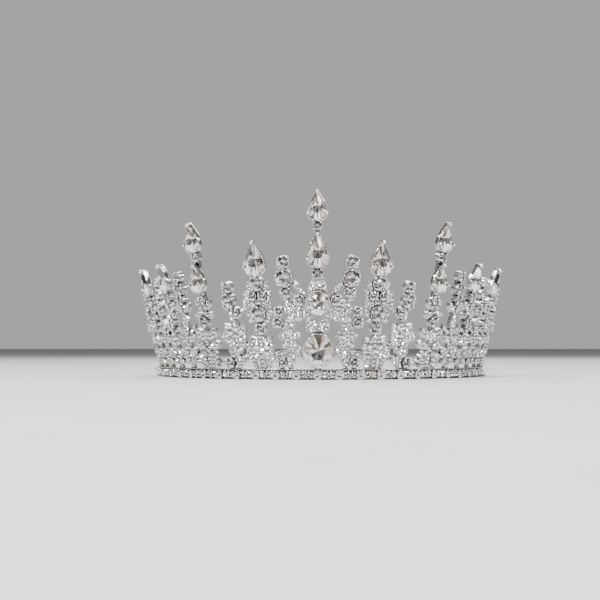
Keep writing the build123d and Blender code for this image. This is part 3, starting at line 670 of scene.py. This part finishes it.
# ---- pavé: stones and grains packed over every leaf and wire face ----------------------------------
CELL = 0.08             # grid step over a panel's face
STONE_MOST = 0.72       # radius of the largest pavé stone
STONE_LEAST = 0.40
GRAIN_MOST = 0.27       # radius of the largest metal grain between the stones
GRAIN_LEAST = 0.17
STONE_LIFT = 0.10       # a packed stone's girdle over its face, as a share of its radius
STONE_HEIGHT = 0.9      # and how deep it is cut
GRAIN_HEIGHT = 1.15
FACE_MARGIN = 0.03
STONE_GAP = 0.02
LEVEL_SLACK = 0.1       # how far a face may lie off its level
FACING = 0.98           # cosine of the tilt that still counts as facing outward
KEEP_OUT_DEPTH = 4      # big stones further off a panel than this don't cover it
EMPTY = -9              # height given to cells with no face
PANELS = ["inner_twin", "front_pear", "outer_twin", "tall_spire", "side_twin", "side_pear", "rear_twin",
          "rear_pear", "end_twin", "end_leaf"]
PANEL_ANGLES = dict(zip(PANELS, COLUMN_ANGLES[1:]))
FRONT_PANELS = 4


def outward_faces(node_name, angle):
    """A panel's outward triangles below its cups, in the wall's frame there, and the panel's box."""
    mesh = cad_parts[node_name].data
    mesh.calc_loop_triangles()
    points = np.empty(len(mesh.vertices) * 3)
    mesh.vertices.foreach_get("co", points)
    matrix = np.array(wall_frame(angle).inverted())
    local = (points.reshape(-1, 3) / MM) @ matrix[:3, :3].T + matrix[:3, 3]
    corners = np.empty(len(mesh.loop_triangles) * 3, int)
    mesh.loop_triangles.foreach_get("vertices", corners)
    triangles = local[corners.reshape(-1, 3)]
    normals = np.cross(triangles[:, 1] - triangles[:, 0], triangles[:, 2] - triangles[:, 0])
    length = np.linalg.norm(normals, axis=1)
    facing = (length > 1e-9) & (normals[:, 2] > FACING * length)
    lift = triangles[:, :, 2].mean(1)
    below_cups = (lift > -LEVEL_SLACK) & (lift < (LEAF_RELIEF + CUP_HEIGHT) / 2)
    return triangles[facing & below_cups], local.min(0)[:2], local.max(0)[:2]


def face_cells(node_name, angle):
    """A grid over a panel's face: its low corner and the height of each cell, NaN where it is empty."""
    triangles, least, most = outward_faces(node_name, angle)
    low = least - 2 * CELL
    heights = np.full(np.ceil((most + 2 * CELL - low) / CELL).astype(int), np.nan)
    for triangle in triangles:
        flat = triangle[:, :2]
        first = np.floor((flat.min(0) - low) / CELL).astype(int)
        last = np.ceil((flat.max(0) - low) / CELL).astype(int) + 1
        xs = low[0] + np.arange(first[0], last[0]) * CELL
        ys = low[1] + np.arange(first[1], last[1]) * CELL
        gx, gy = np.meshgrid(xs, ys, indexing="ij")
        inside = np.ones(gx.shape, bool)
        for k in range(3):
            (ax, ay), (bx, by) = flat[k], flat[(k + 1) % 3]
            inside &= (bx - ax) * (gy - ay) - (by - ay) * (gx - ax) >= -1e-6
        block = heights[first[0]:last[0], first[1]:last[1]]
        block[inside[:block.shape[0], :block.shape[1]]] = triangle[:, 2].mean()
    return low, heights


def clear_big_stones(low, heights, inverse):
    """Empty the cells that a big stone's setting covers."""
    for where, half_width, half_height in keep_out:
        spot = inverse @ where.translation
        if abs(spot.z) > KEEP_OUT_DEPTH:
            continue
        xs = (low[0] + np.arange(heights.shape[0]) * CELL - spot.x)[:, None]
        ys = (low[1] + np.arange(heights.shape[1]) * CELL - spot.y)[None, :]
        heights[(xs / half_width) ** 2 + (ys / half_height) ** 2 < 1] = np.nan


def clearance(mask, low):
    """Places of the marked cells, and the distance from each to the marked area's rim."""
    inner = mask.copy()
    for axis in (0, 1):
        for step in (-1, 1):
            inner &= np.roll(mask, step, axis)
    rim = np.argwhere(mask & ~inner)
    tree = KDTree(len(rim))
    for number, (i, j) in enumerate(rim):
        tree.insert((i, j, 0), number)
    tree.balance()
    cells = np.argwhere(mask)
    room = np.array([tree.find((i, j, 0))[2] for i, j in cells]) * CELL
    return low + cells * CELL, room


def pack_face(places, room, taken):
    """Circles packed from the largest down, clear of the face's edge and of the circles in taken."""
    room = np.minimum(room - FACE_MARGIN, STONE_MOST * 2)
    for (x, y), radius in taken:
        room = np.minimum(room, np.hypot(places[:, 0] - x, places[:, 1] - y) - radius)
    circles = []
    while len(room):
        best = int(np.argmax(room))
        if room[best] < GRAIN_LEAST:
            break
        radius = min(room[best], STONE_MOST)
        if radius < STONE_LEAST:
            radius = min(radius, GRAIN_MOST)
        x, y = places[best]
        circles.append((x, y, radius))
        room = np.minimum(room, np.hypot(places[:, 0] - x, places[:, 1] - y) - radius - STONE_GAP)
    return circles


def pave_panel(node_name, angle, gems, grains, seeds=()):
    """Stones and grains over a panel's plate and leaves, round the stones in seeds."""
    low, heights = face_cells(node_name, angle)
    matrix = wall_frame(angle)
    inverse = matrix.inverted()
    clear_big_stones(low, heights, inverse)
    own = []
    for place, radius in seeds:
        spot = inverse @ place
        own.append(((spot.x, spot.y), radius))
    for level in (0.0, LEAF_RELIEF):
        mask = np.abs(np.nan_to_num(heights, nan=EMPTY) - level) < LEVEL_SLACK
        if not mask.any():
            continue
        places, room = clearance(mask, low)
        for x, y, radius in pack_face(places, room, own if level else ()):
            spot = shifted(matrix, x, y, level)
            if radius >= STONE_LEAST:
                spot = shifted(spot, 0, 0, STONE_LIFT * radius)
                gems.add(PAVE_GEM, turned(spot, random.uniform(0, pi)),
                         (radius, radius, radius * STONE_HEIGHT))
            else:
                grains.add(GRAIN, spot, (radius, radius, radius * GRAIN_HEIGHT))
    for (x, y), radius in own:
        spot = shifted(matrix, x, y, LEAF_RELIEF)
        gems.add(PAVE_GEM, turned(spot, random.uniform(0, pi)), (radius, radius, radius))


def pave_seeds(node_name):
    """Places and radii of the pavé stones that the model already has, by column."""
    found = {}
    for points in islands(node_name):
        column = column_of(points)
        matrix, radius = seated(points, column)
        found.setdefault(column, []).append((matrix.translation, radius))
    return found


grains = Piece()
for side_name, side in (("left", -1), ("right", 1)):
    for part, names in (("front", PANELS[:FRONT_PANELS]), ("rear", PANELS[FRONT_PANELS:])):
        gems = Piece()
        stones = f"{side_name}_{part}_pave_stones"
        seeds = pave_seeds(stones)
        for panel in names:
            angle = side * PANEL_ANGLES[panel]
            pave_panel(f"{side_name}_{panel}_panel", angle, gems, grains, seeds.get(angle, ()))
        gems.build(f"{side_name}_{part}_pave_crystals", [SPARKLE, PAVE_PAINTED_SHADE], "small_crystal", [stones])
gems = Piece()
for node_name in ("centre_panel", "centre_spire"):
    pave_panel(node_name, 0, gems, grains)
gems.build("centre_pave_crystals", [SPARKLE, PAVE_PAINTED_SHADE], "small_crystal")
grains.build("pave_grains", [POLISHED], "cast_metal")

# ---- floor, light, camera -------------------------------------------------------------------------
FLOOR_HALF = 4.0        # metres
FLOOR_GAP = 0.00002     # under the tiara, so that the two faces don't flicker
LIGHT_TARGET = (0, 0, 0.03)
WHITE = (1, 1, 1)
SPARK_SIZE, SPARK_POWER = (0.035, 0.035), 1.4
SPARKS = ((-0.55, -0.55, 0.18), (0.20, -0.62, 0.42), (0.60, -0.12, 0.40), (-0.50, 0.10, 0.45),
          (-0.10, -0.60, 0.22))
FOCAL_IN_WIDTHS = 1.873     # lens over sensor width
SENSOR = 36.0
CAMERA_DISTANCE = 400.0     # from the band's foremost point
CAMERA_HEIGHT = 12.0
CAMERA_ANGLE = 0.8          # degrees round the wall's axis, from the front centre
LOOK_UP = 2.34              # degrees
LOOK_LEFT = 1.05


def make_floor():
    material, nodes, links, shader = new_material("floor_pale")
    grain = noise(nodes, links, 40, 4, 0.6)
    tone = ramp(nodes, links, grain, [(0.3, (0.56, 0.555, 0.55)), (0.7, (0.61, 0.605, 0.60))])
    links.new(tone, shader.inputs["Base Color"])
    shader.inputs["Roughness"].default_value = 0.75
    corners = [(x * FLOOR_HALF, y * FLOOR_HALF, 0) for x, y in ((-1, -1), (1, -1), (1, 1), (-1, 1))]
    mesh = bpy.data.meshes.new("floor")
    mesh.from_pydata(corners, [], [(0, 1, 2, 3)])
    mesh.materials.append(material)
    floor = bpy.data.objects.new("floor", mesh)
    floor.location.z = cad_box[0][2] - FLOOR_GAP
    bpy.context.collection.objects.link(floor)


def make_world():
    """A dim room in front and a pale wall behind, by compass direction."""
    world = bpy.data.worlds.new("studio")
    bpy.context.scene.world = world
    world.use_nodes = True
    nodes, links = world.node_tree.nodes, world.node_tree.links
    place = nodes.new("ShaderNodeTexCoord")
    split = nodes.new("ShaderNodeSeparateXYZ")
    links.new(place.outputs["Generated"], split.inputs["Vector"])
    backward = spread(nodes, links, split.outputs["Y"], 0.0, 1.0, start=-1.0)
    sky = ramp(nodes, links, backward, [(0.0, (0.13, 0.125, 0.145)), (0.45, (0.04, 0.039, 0.042)),
                                        (0.60, (0.22, 0.22, 0.22)), (0.8, (0.44, 0.44, 0.435))])
    links.new(sky, nodes["Background"].inputs["Color"])
    nodes["Background"].inputs["Strength"].default_value = 1.0


def area_light(name, place, size, power, colour=WHITE):
    data = bpy.data.lights.new(name, "AREA")
    data.shape = "RECTANGLE"
    data.size, data.size_y = size
    data.energy = power
    data.color = colour
    light = bpy.data.objects.new(name, data)
    light.location = place
    light.rotation_euler = (Vector(LIGHT_TARGET) - Vector(place)).to_track_quat("-Z", "Y").to_euler()
    bpy.context.collection.objects.link(light)


def make_lights():
    area_light("key", (-0.28, -0.40, 0.50), (0.16, 0.16), 6.0)
    for number, place in enumerate(SPARKS):
        area_light(f"spark_{number}", place, SPARK_SIZE, SPARK_POWER)
    area_light("fill", (0.45, -0.35, 0.30), (0.12, 0.20), 2.2, (1.0, 0.98, 0.96))
    area_light("top", (0.05, -0.15, 0.60), (0.30, 0.12), 2.0)
    area_light("back", (0.10, 0.55, 0.50), (0.50, 0.25), 4.0, (0.97, 0.98, 1.0))


def make_camera():
    data = bpy.data.cameras.new("camera")
    data.sensor_width = SENSOR
    data.lens = SENSOR * FOCAL_IN_WIDTHS
    data.clip_start = 0.01
    camera = bpy.data.objects.new("camera", data)
    a = radians(CAMERA_ANGLE)
    reach = CAMERA_DISTANCE + BAND_RADIUS
    camera.location = Vector((reach * sin(a), AXIS_Y - reach * cos(a), CAMERA_HEIGHT)) * MM
    camera.rotation_euler = (radians(90 + LOOK_UP), 0, radians(CAMERA_ANGLE + LOOK_LEFT))
    bpy.context.collection.objects.link(camera)
    bpy.context.scene.camera = camera


make_floor()
make_world()
make_lights()
make_camera()
